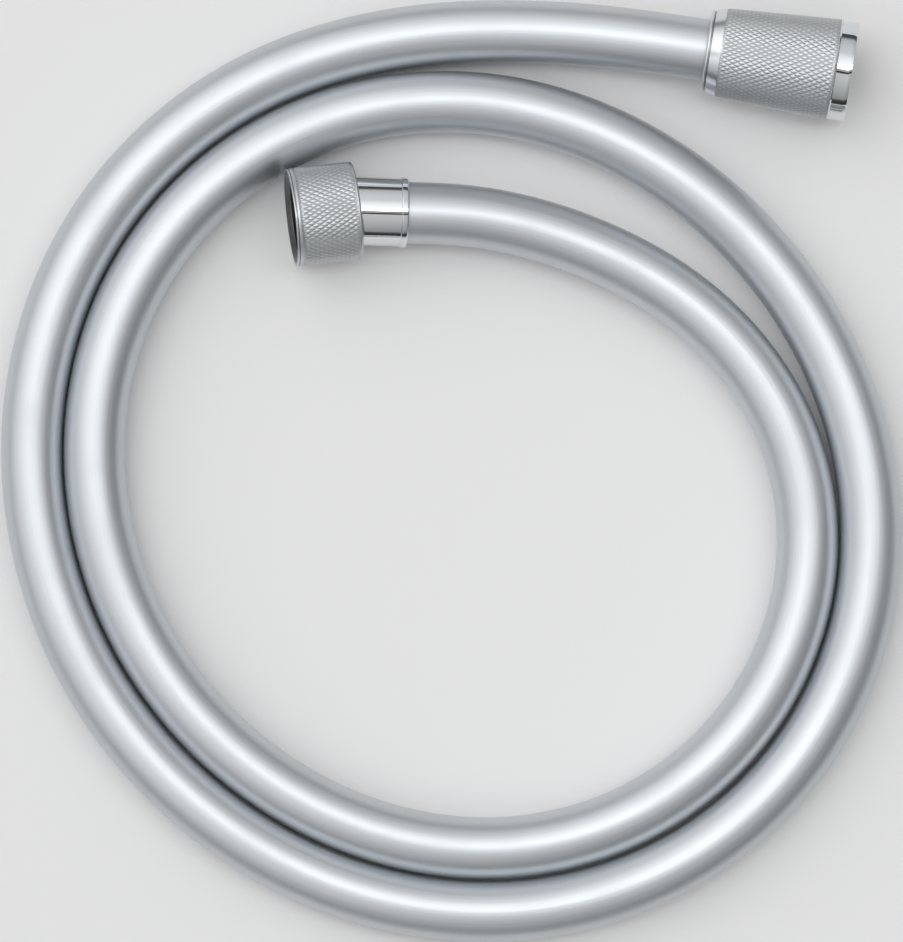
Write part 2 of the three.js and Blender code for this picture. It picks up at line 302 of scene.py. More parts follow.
class Wiring:
    """Adds nodes to a tree and joins them."""

    def __init__(self, tree: bpy.types.NodeTree) -> None:
        """Keeps the tree that it builds in."""
        self.tree = tree

    def add(self, kind: str, feeds: dict | None = None, **settings: object) -> bpy.types.Node:
        """Adds a node.

        Args:
            kind: the node's type.
            feeds: an output to link or a plain value for each input, by the input's name or number.
            **settings: properties to set on it.

        Returns:
            The new node.
        """
        node = self.tree.nodes.new(kind)
        for name, value in settings.items():
            setattr(node, name, value)
        self.feed(node, feeds or {})
        return node

    def feed(self, node: bpy.types.Node, feeds: dict) -> None:
        """Links outputs to a node's inputs, or sets the inputs' own values.

        Args:
            node: the node.
            feeds: an output or a plain value for each input, by the input's name or number.
        """
        for key, value in feeds.items():
            if isinstance(value, Socket):
                self.tree.links.new(value, node.inputs[key])
            else:
                node.inputs[key].default_value = value

    def math(self, operation: str, *values: object, clamp: bool = False) -> Socket:
        """Adds a Math node.

        Args:
            operation: what it works out.
            *values: its inputs, in order.
            clamp: whether the result is kept from 0 to 1.

        Returns:
            Its result.
        """
        node = self.add("ShaderNodeMath", dict(enumerate(values)), operation=operation, use_clamp=clamp)
        return node.outputs[0]

    def vectors(self, operation: str, first: object, second: object) -> Socket:
        """Adds a Vector Math node.

        Args:
            operation: what it works out.
            first: the first vector.
            second: the second vector, or the factor of SCALE.

        Returns:
            Its result.
        """
        feeds = {0: first, "Scale" if operation == "SCALE" else 1: second}
        return self.add("ShaderNodeVectorMath", feeds, operation=operation).outputs[0]

    def vector(self, *parts: object) -> Socket:
        """Returns a vector from its three parts."""
        return self.add("ShaderNodeCombineXYZ", dict(enumerate(parts))).outputs[0]

    def compared(self, operation: str, first: object, second: object) -> Socket:
        """Returns whether one number is greater or less than another."""
        feeds = {0: first, 1: second}
        return self.add("FunctionNodeCompare", feeds, operation=operation, data_type="FLOAT").outputs[0]

    def ranged(self, value: object, *bounds: object, smooth: bool = False) -> Socket:
        """Adds a Map Range node.

        Args:
            value: the number to map.
            *bounds: start and end of the range that it comes from, then of the range that it goes to.
            smooth: whether it eases in and out.

        Returns:
            The mapped number.
        """
        names = ("Value", "From Min", "From Max", "To Min", "To Max")
        kind = "SMOOTHSTEP" if smooth else "LINEAR"
        feeds = dict(zip(names, (value, *bounds)))
        return self.add("ShaderNodeMapRange", feeds, interpolation_type=kind).outputs[0]

    def attribute(self, name: str, output: str = "Fac") -> Socket:
        """Returns what a surface keeps under a name."""
        return self.add("ShaderNodeAttribute", attribute_name=name).outputs[output]


class RingSurface:
    """The Geometry Nodes tree that every piece is made with."""

    INPUTS: dict[str, int | float] = {
        "Columns": 96,
        "Knurl Diamonds": 1,
        "Knurl Length": 1.0,
        "Knurl Start": 0.0,
        "Knurl Start Row": 0,
        "Knurl Depth": 0.0,
        "Crest Share": 1 / 3,
        "Thread Pitch": 1.0,
        "Thread Depth": 0.0,
        "Sharp Angle": math.radians(28),
        "Weld Distance": 2e-6,
    }
    VECTORS = ("side", "over")
    NUMBERS = ("radius", "along", "lid", "thread", "knurled", "dull", "shade")
    EVEN_LIFT = 1000  # an even number that keeps the chessboard's count above zero

    def __init__(self) -> None:
        """Builds the tree once."""
        tree = bpy.data.node_groups.new("ring_surface", "GeometryNodeTree")
        tree.interface.new_socket("Geometry", in_out="INPUT", socket_type="NodeSocketGeometry")
        for name, default in self.INPUTS.items():
            kind = "NodeSocketInt" if isinstance(default, int) else "NodeSocketFloat"
            tree.interface.new_socket(name, in_out="INPUT", socket_type=kind).default_value = default
        tree.interface.new_socket("Finish", in_out="INPUT", socket_type="NodeSocketMaterial")
        tree.interface.new_socket("Geometry", in_out="OUTPUT", socket_type="NodeSocketGeometry")
        self.tree = tree
        self._wire()

    def _wire(self) -> None:
        """Joins the tree's nodes: a flat grid is cut into triangles, rolled up and welded."""
        w = Wiring(self.tree)
        given = w.add("NodeGroupInput").outputs
        rings, columns = given["Geometry"], given["Columns"]
        counts = w.add("GeometryNodeAttributeDomainSize", {0: rings}, component="MESH")
        rows = counts.outputs["Point Count"]

        points = {"Vertices X": w.math("ADD", columns, 1), "Vertices Y": w.math("ADD", rows, 1)}
        grid = w.add("GeometryNodeMeshGrid", {"Size X": columns, "Size Y": rows, **points})
        place = w.add("ShaderNodeSeparateXYZ", {0: w.add("GeometryNodeInputPosition").outputs[0]})
        column = w.math("ADD", place.outputs[0], w.math("DIVIDE", columns, 2))
        row = w.math("ADD", place.outputs[1], w.math("DIVIDE", rows, 2))

        # Squares are cut along one diagonal or the other in turn, as a chessboard's colours go
        steps = w.math("ADD", w.math("FLOOR", column), w.math("FLOOR", row))
        steps = w.math("ADD", w.math("SUBTRACT", steps, given["Knurl Start Row"]), self.EVEN_LIFT)
        even = w.compared("LESS_THAN", w.math("MODULO", steps, 2), 0.5)
        feeds = {"Mesh": grid.outputs["Mesh"], "Selection": even}
        cut = w.add("GeometryNodeTriangulate", feeds, quad_method="FIXED")
        feeds = {"Mesh": cut.outputs["Mesh"]}
        cut = w.add("GeometryNodeTriangulate", feeds, quad_method="FIXED_ALTERNATE")

        # Each point of the grid looks up its ring
        ring = w.math("MODULO", w.math("ROUND", row), rows)
        centre = self._of_ring(w, rings, ring, None, "FLOAT_VECTOR")
        side, over = (self._of_ring(w, rings, ring, name, "FLOAT_VECTOR") for name in self.VECTORS)
        own = {name: self._of_ring(w, rings, ring, name, "FLOAT") for name in self.NUMBERS}
        along = own["along"]
        turn = w.math("DIVIDE", w.math("ROUND", column), columns)

        # Knurl: two families of crossing grooves with blunt diamonds between them
        around = w.math("MULTIPLY", turn, given["Knurl Diamonds"])
        lengthways = w.math("SUBTRACT", along, given["Knurl Start"])
        lengthways = w.math("DIVIDE", lengthways, given["Knurl Length"])
        grooves = [w.math(sense, around, lengthways) for sense in ("ADD", "SUBTRACT")]
        to_groove = w.math("MINIMUM", *(w.math("PINGPONG", groove, 0.5) for groove in grooves))
        height = w.math("DIVIDE", to_groove, given["Crest Share"], clamp=True)
        height = w.math("MINIMUM", height, own["lid"])
        sunk = w.math("MULTIPLY", w.math("SUBTRACT", 1.0, height), own["knurled"])
        radius = w.math("SUBTRACT", own["radius"], w.math("MULTIPLY", sunk, given["Knurl Depth"]))

        # Thread: one right-hand groove that winds along the bore
        winding = w.math("SUBTRACT", w.math("DIVIDE", along, given["Thread Pitch"]), turn)
        wave = w.math("MULTIPLY", w.math("PINGPONG", winding, 0.5), 2.0)
        groove = w.math("MULTIPLY", w.ranged(wave, 0.0, 1.0, 0.0, 1.0, smooth=True), own["thread"])
        radius = w.math("ADD", radius, w.math("MULTIPLY", groove, given["Thread Depth"]))

        # The surface keeps what its material reads, and is rolled up
        angle = w.math("MULTIPLY", turn, TURN)
        x, y = (w.math("MULTIPLY", radius, w.math(part, angle)) for part in ("COSINE", "SINE"))
        surface = cut.outputs["Mesh"]
        for name, kind, domain, value in (
            ("straight", "FLOAT_VECTOR", "POINT", w.vector(x, y, along)),
            ("relief", "FLOAT", "POINT", w.math("SUBTRACT", 1.0, sunk)),
            # painted shading, which the finishes darken their colour with
            ("dull", "FLOAT", "POINT", own["dull"]),
            ("shade", "FLOAT", "POINT", own["shade"]),
            ("UVMap", "FLOAT2", "CORNER", w.vector(along, turn, 0.0)),
        ):
            feeds = {"Name": name, "Geometry": surface, "Value": value}
            kept = w.add("GeometryNodeStoreNamedAttribute", feeds, data_type=kind, domain=domain)
            surface = kept.outputs[0]
        across = w.vectors("ADD", w.vectors("SCALE", side, x), w.vectors("SCALE", over, y))
        feeds = {"Geometry": surface, "Position": w.vectors("ADD", centre, across)}
        rolled = w.add("GeometryNodeSetPosition", feeds)
        feeds = {"Geometry": rolled.outputs[0], "Distance": given["Weld Distance"]}
        welded = w.add("GeometryNodeMergeByDistance", feeds)

        # Smooth shading, with sharp edges where the surface turns sharply
        feeds = {"Geometry": welded.outputs[0], "Shade Smooth": True}
        smooth = w.add("GeometryNodeSetShadeSmooth", feeds, domain="FACE")
        bend = w.add("GeometryNodeInputMeshEdgeAngle").outputs["Unsigned Angle"]
        sharp = w.compared("GREATER_THAN", bend, given["Sharp Angle"])
        feeds = {"Geometry": smooth.outputs[0], "Selection": sharp, "Shade Smooth": False}
        creased = w.add("GeometryNodeSetShadeSmooth", feeds, domain="EDGE")

        real = w.add("GeometryNodeRealizeInstances", {0: creased.outputs[0]})
        feeds = {"Geometry": real.outputs[0], "Material": given["Finish"]}
        dressed = w.add("GeometryNodeSetMaterial", feeds)
        w.add("NodeGroupOutput", {0: dressed.outputs[0]})

    @staticmethod
    def _of_ring(w: Wiring, rings: Socket, ring: Socket, name: str | None, kind: str) -> Socket:
        """Reads a value of one ring.

        Args:
            w: the tree's wiring.
            rings: the rings.
            ring: which of them.
            name: the attribute to read, or None for the ring's centre.
            kind: the attribute's type.

        Returns:
            The value.
        """
        if name is None:
            value = w.add("GeometryNodeInputPosition").outputs[0]
        else:
            named = w.add("GeometryNodeInputNamedAttribute", {"Name": name}, data_type=kind)
            value = named.outputs["Attribute"]
        feeds = {"Geometry": rings, "Value": value, "Index": ring}
        sample = w.add("GeometryNodeSampleIndex", feeds, data_type=kind, domain="POINT")
        return sample.outputs["Value"]

    def build(
        self,
        name: str,
        rings: Sequence[Ring],
        finish: Material,
        place: Matrix | None = None,
        **settings: object,
    ) -> Object:
        """Makes a piece from its rings, as a plain mesh.

        Args:
            name: the piece's name.
            rings: the rings, once round the closed outline.
            finish: the piece's material.
            place: where the piece goes, if its rings aren't in place.
            **settings: values of the tree's named inputs.

        Returns:
            The piece, at the origin, with its place in its mesh.
        """
        base = bpy.data.meshes.new(f"{name}_rings")
        base.vertices.add(len(rings))
        base.vertices.foreach_set("co", np.array([r.centre for r in rings], np.float32).ravel())
        for keys, kind, label in ((self.VECTORS, "FLOAT_VECTOR", "vector"), (self.NUMBERS, "FLOAT", "value")):
            for key in keys:
                values = np.array([getattr(r, key) for r in rings], np.float32)
                base.attributes.new(key, kind, "POINT").data.foreach_set(label, values.ravel())
        host = bpy.data.objects.new(f"{name}_host", base)
        bpy.context.scene.collection.objects.link(host)
        modifier = host.modifiers.new("rings", "NODES")
        modifier.node_group = self.tree
        by_name = {s.name: s.identifier for s in self.tree.interface.items_tree if s.in_out == "INPUT"}
        for key, value in {"Finish": finish, **settings}.items():
            modifier[by_name[key]] = value
        graph = bpy.context.evaluated_depsgraph_get()
        mesh = bpy.data.meshes.new_from_object(
            host.evaluated_get(graph), preserve_all_data_layers=True, depsgraph=graph
        )
        host.modifiers.remove(modifier)
        bpy.data.objects.remove(host)
        mesh.name = name
        if place is not None:
            mesh.transform(place)
        piece = bpy.data.objects.new(name, mesh)
        bpy.context.scene.collection.objects.link(piece)
        return piece


@dataclass
class TurnedPiece:
    """A piece turned about +Z from a closed outline in millimetres.

    Args:
        name: the piece's name.
        corners: the outline, up the outside and down the inside.
        columns: columns around the piece, unless a knurl sets them.
        knurl: the knurl in its knurled band, if it has one.
        arc_steps: steps in a rounded corner.
        thread_steps: rings in one turn of the thread.
        thread_fade: stretch at each end of the thread over which it deepens.
    """

    name: str
    corners: list[Corner]
    columns: int = 128
    knurl: Knurl | None = None
    arc_steps: int = 5
    thread_steps: int = 12
    thread_fade: float = 0.7
    _rings: list[Ring] = field(default_factory=list, repr=False)
    _knurl_row: int = 0
    _knurl_start: float = 0.0

    def _ring(self, radius: float, height: float, **values: object) -> None:
        """Adds one ring, given in millimetres."""
        middle = (0.0, 0.0, height * MM)
        self._rings.append(Ring(middle, (1.0, 0.0, 0.0), (0.0, 1.0, 0.0), radius * MM, height * MM, **values))

    def _fillet(self, before: Corner, corner: Corner, after: Corner) -> list[tuple[float, float]]:
        """Points of a corner, rounded if it has a fillet.

        Args:
            before: the corner before it.
            corner: the corner itself.
            after: the corner after it.

        Returns:
            Points as (radius, height), in order along the outline.
        """
        at = Vector((corner.radius, corner.height))
        if corner.fillet <= 0:
            return [tuple(at)]
        back = (Vector((before.radius, before.height)) - at).normalized()
        forth = (Vector((after.radius, after.height)) - at).normalized()
        half = back.angle(forth) / 2
        reach = corner.fillet / math.tan(half)
        middle = at + (back + forth).normalized() * (corner.fillet / math.sin(half))
        start, end = at + back * reach - middle, at + forth * reach - middle
        sweep = math.pi - 2 * half
        sense = 1.0 if start.x * end.y - start.y * end.x > 0 else -1.0
        angles = (sense * sweep * k / self.arc_steps for k in range(self.arc_steps + 1))
        return [tuple(middle + Matrix.Rotation(angle, 2) @ start) for angle in angles]

    def _knurl_rows(self, start: tuple[float, float], end: tuple[float, float], dull: float) -> None:
        """Adds the knurl's rings between two points of the outline.

        Args:
            start: the first point, as (radius, height).
            end: the last point.
            dull: how much less polished the knurl is.
        """
        count = int((end[1] - start[1]) / self.knurl.row_step)
        self._knurl_row = len(self._rings)
        self._knurl_start = start[1]
        for k in range(count + 1):
            height = start[1] + k * self.knurl.row_step
            share = (height - start[1]) / (end[1] - start[1])
            lid = 0.0 if k in (0, count) else 1.0
            self._ring(start[0] + (end[0] - start[0]) * share, height, lid=lid, knurled=True, dull=dull)

    def _thread_rows(self, start: tuple[float, float], end: tuple[float, float], corner: Corner) -> None:
        """Adds the thread's rings between two points of the outline.

        Args:
            start: the first point, as (radius, height).
            end: the last point.
            corner: the corner that the thread starts from, which says how dull it is and its painted shading.
        """
        length = abs(end[1] - start[1])
        count = math.ceil(length / (THREAD_PITCH / self.thread_steps))
        for k in range(1, count):
            share = k / count
            fade = min(1.0, min(share, 1 - share) * length / self.thread_fade)
            radius = start[0] + (end[0] - start[0]) * share
            height = start[1] + (end[1] - start[1]) * share
            depth = fade * fade * (3 - 2 * fade)
            self._ring(radius, height, thread=depth, dull=corner.dull, shade=corner.shade)

    def build(self, surface: RingSurface, finish: Material, place: Matrix) -> Object:
        """Makes the piece.

        Args:
            surface: the tree that makes it.
            finish: its material.
            place: where it goes.

        Returns:
            The finished piece.
        """
        self._rings.clear()
        count = len(self.corners)
        arcs = [
            self._fillet(self.corners[k - 1], c, self.corners[(k + 1) % count])
            for k, c in enumerate(self.corners)
        ]
        for k, corner in enumerate(self.corners):
            end = arcs[(k + 1) % count][0]
            # A knurl's own first ring takes the place of its corner's last point
            for point in arcs[k][:-1] if corner.band is Band.KNURL else arcs[k]:
                self._ring(*point, dull=corner.dull, shade=corner.shade)
            if corner.band is Band.KNURL:
                self._knurl_rows(arcs[k][-1], end, corner.dull)
            if corner.band is Band.THREAD:
                self._thread_rows(arcs[k][-1], end, corner)
        settings: dict[str, object] = {
            "Columns": self.columns,
            "Thread Pitch": THREAD_PITCH * MM,
            "Thread Depth": THREAD_DEPTH * MM,
        }
        if self.knurl is not None:
            settings |= {
                "Columns": self.knurl.columns,
                "Knurl Diamonds": self.knurl.diamonds,
                "Knurl Length": self.knurl.length * MM,
                "Knurl Start": self._knurl_start * MM,
                "Knurl Start Row": self._knurl_row,
                "Knurl Depth": self.knurl.depth * MM,
                "Crest Share": self.knurl.crest_share,
            }
        return surface.build(self.name, self._rings, finish, place, **settings)


class EffectGroups:
    """Shader node groups that several finishes share."""

    LINES_SPAN = (0.25, 0.75)  # of the noise, which becomes -1 to 1
    MARKS_SPAN = (0.42, 0.72)  # of the noise, which becomes 0 to 1

    def __init__(self) -> None:
        """Builds each group once."""
        self.grain = self._grain()
        self.handling = self._handling()

    @staticmethod
    def _new(name: str, numbers: dict[str, float], output: str) -> Wiring:
        """Starts a group.

        Args:
            name: the group's name.
            numbers: name and default of each number that it takes beside its Place.
            output: the name of the number that it puts out.

        Returns:
            The wiring of the new group.
        """
        tree = bpy.data.node_groups.new(name, "ShaderNodeTree")
        tree.interface.new_socket("Place", in_out="INPUT", socket_type="NodeSocketVector")
        for label, default in numbers.items():
            socket = tree.interface.new_socket(label, in_out="INPUT", socket_type="NodeSocketFloat")
            socket.default_value = default
        tree.interface.new_socket(output, in_out="OUTPUT", socket_type="NodeSocketFloat")
        return Wiring(tree)

    def _grain(self) -> bpy.types.NodeTree:
        """Fine lines that follow one direction, such as drawing or turning marks.

        Returns:
            The group: Place, Across and Along in, Lines from -1 to 1 out.
        """
        w = self._new("fine_lines", {"Across": 1000.0, "Along": 10.0}, "Lines")
        given = w.add("NodeGroupInput").outputs
        stretch = w.vector(given["Across"], given["Across"], given["Along"])
        place = w.vectors("MULTIPLY", given["Place"], stretch)
        feeds = {"Vector": place, "Scale": 1.0, "Detail": 3.0, "Roughness": 0.6}
        noise = w.add("ShaderNodeTexNoise", feeds, noise_dimensions="3D")
        w.add("NodeGroupOutput", {0: w.ranged(noise.outputs[0], *self.LINES_SPAN, -1.0, 1.0)})
        return w.tree

    def _handling(self) -> bpy.types.NodeTree:
        """Faint cloudy marks from handling.

        Returns:
            The group: Place and Size in, Marks from 0 to 1 out.
        """
        w = self._new("handling_marks", {"Size": 0.01}, "Marks")
        given = w.add("NodeGroupInput").outputs
        scale = w.math("DIVIDE", 1.0, given["Size"])
        feeds = {"Vector": given["Place"], "Scale": scale, "Detail": 4.0, "Distortion": 0.6}
        noise = w.add("ShaderNodeTexNoise", feeds, noise_dimensions="3D")
        marks = w.ranged(noise.outputs[0], *self.MARKS_SPAN, 0.0, 1.0, smooth=True)
        w.add("NodeGroupOutput", {0: marks})
        return w.tree


class Pattern(Enum):
    """What a finish's fine lines follow."""

    STRAIGHT = "straight"  # the attribute on pieces made here, laid out straight
    OBJECT = "object"  # object coordinates, on the solids that are kept


@dataclass(frozen=True)
class Finish:
    """A finish of one of the object's materials.

    Args:
        name: the material's name.
        colour: its colour, linear.
        roughness: how matt it is.
        metallic: 1 for bare or plated metal, 0 for plastic.
        across: fine lines in a metre across their direction.
        along: fine lines in a metre along their direction.
        line_relief: height of the fine lines, in metres.
        line_gloss: how much the fine lines change the roughness.
        line_shade: how much the fine lines change the colour.
        marks_gloss: how much handling marks change the roughness.
        marks_size: size of the handling marks, in metres.
        groove_shade: painted shading, how much darker the bottom of a knurl's groove is.
        dull_gain: roughness that a wholly dull place adds.
        pattern: what the fine lines follow.
    """

    name: str
    colour: tuple[float, float, float]
    roughness: float
    metallic: float = 1.0
    across: float = 1500.0
    along: float = 20.0
    line_relief: float = 0.0
    line_gloss: float = 0.0
    line_shade: float = 0.0
    marks_gloss: float = 0.0
    marks_size: float = 0.012
    groove_shade: float = 0.0
    dull_gain: float = 0.0
    pattern: Pattern = Pattern.STRAIGHT

    def build(self, effects: EffectGroups) -> Material:
        """Makes the material.

        Args:
            effects: the shared effects.

        Returns:
            The material.
        """
        material = bpy.data.materials.new(self.name)
        material.use_nodes = True
        material.diffuse_color = (*self.colour, 1.0)
        w = Wiring(material.node_tree)
        shader = next(n for n in w.tree.nodes if n.type == "BSDF_PRINCIPLED")
        shader.distribution = "GGX"
        if self.pattern is Pattern.STRAIGHT:
            place = w.attribute("straight", "Vector")
        else:
            place = w.add("ShaderNodeTexCoord").outputs["Object"]
        feeds = {"Place": place, "Across": self.across, "Along": self.along}
        lines = w.add("ShaderNodeGroup", feeds, node_tree=effects.grain).outputs["Lines"]
        feeds = {"Place": place, "Size": self.marks_size}
        marks = w.add("ShaderNodeGroup", feeds, node_tree=effects.handling).outputs["Marks"]

        # The colour's factor: the grain of the fine lines, then painted shading
        shade = w.math("MULTIPLY_ADD", lines, self.line_shade, 1.0)
        gloss = w.math("MULTIPLY_ADD", lines, self.line_gloss, self.roughness)
        gloss = w.math("MULTIPLY_ADD", marks, self.marks_gloss, gloss)
        # Painted shading: the bottoms of the knurl's grooves are darker
        if self.groove_shade:
            sunk = w.ranged(w.attribute("relief"), 0.0, 1.0, 1.0 - self.groove_shade, 1.0)
            shade = w.math("MULTIPLY", shade, sunk)
        # Painted shading where the rings carry it, and more roughness where they are dull
        if self.dull_gain:
            shade = w.math("MULTIPLY", shade, w.math("SUBTRACT", 1.0, w.attribute("shade")))
            gloss = w.math("ADD", gloss, w.math("MULTIPLY", w.attribute("dull"), self.dull_gain))
        gloss = w.math("MAXIMUM", gloss, LEAST_ROUGHNESS)
        tint = w.vectors("SCALE", self.colour, shade)
        w.feed(shader, {"Metallic": self.metallic, "Base Color": tint, "Roughness": gloss})
        if self.line_relief:
            feeds = {"Strength": 1.0, "Distance": self.line_relief, "Height": lines}
            w.feed(shader, {"Normal": w.add("ShaderNodeBump", feeds).outputs[0]})
        return material


CHROME_COLOUR = (0.765, 0.79, 0.81)

SATIN_HOSE = Finish(
    "satin_silver_hose", colour=(0.71, 0.745, 0.776), roughness=0.45, across=2600.0, along=14.0,
    line_relief=0.000005, line_gloss=0.03, line_shade=0.032, marks_gloss=0.03, marks_size=0.02,
)  # fmt: skip
BRIGHT_CHROME = Finish(
    "bright_chrome", colour=CHROME_COLOUR, roughness=0.05, across=200.0, along=6000.0,
    line_gloss=0.01, marks_gloss=0.04, marks_size=0.008,
)  # fmt: skip
KNURLED_CHROME = Finish(
    "knurled_chrome", colour=CHROME_COLOUR, roughness=0.06, across=300.0, along=6000.0,
    line_gloss=0.015, marks_gloss=0.05, marks_size=0.006, groove_shade=0.3, dull_gain=0.38,
)  # fmt: skip
TURNED_BRASS = Finish(
    "turned_brass", colour=(0.66, 0.47, 0.19), roughness=0.3, across=300.0, along=7000.0,
    line_relief=0.000006, line_gloss=0.05, line_shade=0.06, marks_gloss=0.1,
)  # fmt: skip
BLACK_RUBBER = Finish(
    "black_rubber", colour=(0.022, 0.022, 0.024), roughness=0.62, metallic=0.0, across=900.0,
    along=900.0, line_relief=0.00001, line_gloss=0.08, line_shade=0.12,
)  # fmt: skip
WHITE_ACETAL = Finish(
    "white_acetal", colour=(0.8, 0.79, 0.75), roughness=0.42, metallic=0.0, across=700.0,
    along=700.0, line_relief=0.000004, line_gloss=0.05, line_shade=0.02, pattern=Pattern.OBJECT,
)  # fmt: skip
SPRING_STEEL = Finish(
    "spring_steel", colour=(0.4, 0.41, 0.43), roughness=0.28, along=1500.0, line_gloss=0.06,
    line_shade=0.05, pattern=Pattern.OBJECT,
)  # fmt: skip
EVERY_FINISH = (
    SATIN_HOSE, BRIGHT_CHROME, KNURLED_CHROME, TURNED_BRASS, BLACK_RUBBER, WHITE_ACETAL, SPRING_STEEL,
)  # fmt: skip


def frame_at(origin: Vector, axis: Vector) -> Matrix:
    """A place with its origin, in metres, and +Z along an axis."""
    turn = Vector(UP).rotation_difference(axis.normalized())
    return Matrix.Translation(origin) @ turn.to_matrix().to_4x4()


@dataclass
class HoseRoute:
    """The line that the hose follows: a uniform cubic B-spline, in millimetres.

    Args:
        guide: guide points as (x, y), from the conical nut to the knurled nut.
        rest_height: height of the hose's middle where it lies on the floor.
        settle_share: share of its lift that the hose has one guide point after a straight end.
        cone_end_height: height of the hose's cut end in the conical nut.
        cone_rise: how steeply the hose climbs into the conical nut.
        wall_end_height: height of the hose's cut end in the sleeve.
        wall_rise: how steeply the hose climbs into the sleeve.
        straight_points: guide points in line at each end.
        fine_points: points that distances along the line are measured with.
    """

    guide: Sequence[tuple[float, float]] = (
        (88.4, 93.9), (72.6, 96.4), (56.8, 98.9), (41.0, 101.4),
        (19.1, 103.5), (-10.2, 103.0), (-43.9, 94.4), (-74.2, 73.0),
        (-94.9, 39.9), (-100.9, -0.8), (-90.7, -41.8), (-65.6, -76.1),
        (-30.0, -98.6), (10.7, -106.0), (49.9, -96.8), (81.2, -72.3),
        (98.8, -36.7), (99.4, 4.0), (82.7, 42.8), (52.2, 72.9),
        (13.5, 88.4), (-26.8, 86.0), (-61.2, 66.1), (-82.3, 32.6),
        (-85.9, -8.1), (-70.9, -47.8), (-39.7, -77.9), (1.2, -91.6),
        (42.2, -84.7), (73.2, -59.0), (86.6, -22.7), (80.3, 13.2),
        (58.6, 39.7), (31.0, 54.1), (7.8, 60.0), (-8.2, 60.4),
        (-24.2, 60.8), (-40.2, 61.2),
    )  # fmt: skip
    rest_height: float = HOSE_RADIUS + 0.02
    settle_share: float = 0.35
    cone_end_height: float = 10.966
    cone_rise: float = math.radians(3.164)
    wall_end_height: float = 11.549
    wall_rise: float = math.radians(5.0)
    straight_points: int = 4
    fine_points: int = 20001

    def __post_init__(self) -> None:
        """Works out the guide points' heights."""
        points = np.array([(x, y, self.rest_height) for x, y in self.guide])
        ends = (
            (0, 1, self.cone_end_height, self.cone_rise),
            (len(points) - 1, -1, self.wall_end_height, self.wall_rise),
        )
        for end, step, height, rise in ends:
            lead = float(np.hypot(*(points[end] - points[end + step])[:2]))
            for k in range(self.straight_points):
                points[end + k * step][2] = height + (1 - k) * lead * math.tan(rise)
            last = end + (self.straight_points - 1) * step
            lift = points[last][2] - self.rest_height
            points[last + step][2] = self.rest_height + self.settle_share * lift
        self.points = points

    def at(self, t: np.ndarray) -> np.ndarray:
        """Points of the line at parameters from 0 to 1.

        Args:
            t: the parameters.

        Returns:
            The points, as rows.
        """
        spans = len(self.points) - 3
        first = np.minimum((t * spans).astype(int), spans - 1)
        u = t * spans - first
        weights = ((1 - u) ** 3, 3 * u**3 - 6 * u**2 + 4, -3 * u**3 + 3 * u**2 + 3 * u + 1, u**3)
        return sum(w[:, None] / 6 * self.points[first + k] for k, w in enumerate(weights))

    def evenly(self, count: int) -> tuple[np.ndarray, np.ndarray, np.ndarray]:
        """Points at even distances along the line.

        Args:
            count: how many points.

        Returns:
            The points, the directions there and the distances along the line.
        """
        fine = self.at(np.linspace(0, 1, self.fine_points))
        run = np.concatenate([[0], np.cumsum(np.linalg.norm(np.diff(fine, axis=0), axis=1))])
        wanted = np.linspace(0, run[-1], count)
        points = np.stack([np.interp(wanted, run, fine[:, k]) for k in range(3)], axis=1)
        ahead = np.gradient(points, axis=0)
        return points, ahead / np.linalg.norm(ahead, axis=1)[:, None], wanted

    def end_frame(self, at_start: bool) -> Matrix:
        """Place of the fitting at one end, on the hose's cut end and with +Z away from the hose.

        Args:
            at_start: whether it is the conical nut's end.

        Returns:
            The place, in metres.
        """
        end, inner = (self.points[0], self.points[1]) if at_start else (self.points[-1], self.points[-2])
        return frame_at(Vector(inner) * MM, Vector(end - inner))


def finish_piece(piece: Object, body: str, slot: str, *nodes: str) -> Object:
    """Makes a piece ride on its body, names its slot and lets it stand for its solids.

    Args:
        piece: the piece.
        body: the body that it rides on.
        slot: the record's material slot.
        *nodes: the solids that it stands for.

    Returns:
        The piece.
    """
    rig.replaces(piece, *nodes)
    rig.slot(piece, slot)
    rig.ride(piece, body)
    log.info("%s: %d faces, rides on %s, stands for %s", piece.name, len(piece.data.polygons), body, nodes)
    return piece


@dataclass(frozen=True)
class Workshop:
    """What every piece is made with.

    Args:
        surface: the tree that makes the pieces.
        materials: the material of each finish.
    """

    surface: RingSurface
    materials: dict[Finish, Material]

    def turned(
        self, piece: TurnedPiece, finish: Finish, place: Matrix, *body_slot_node: str
    ) -> Object:
        """Makes a turned piece that stands for its solid.

        Args:
            piece: the piece's outline.
            finish: its finish.
            place: where it goes.
            *body_slot_node: the body that it rides on, the record's material slot and its solid.

        Returns:
            The piece.
        """
        made = piece.build(self.surface, self.materials[finish], place)
        return finish_piece(made, *body_slot_node)


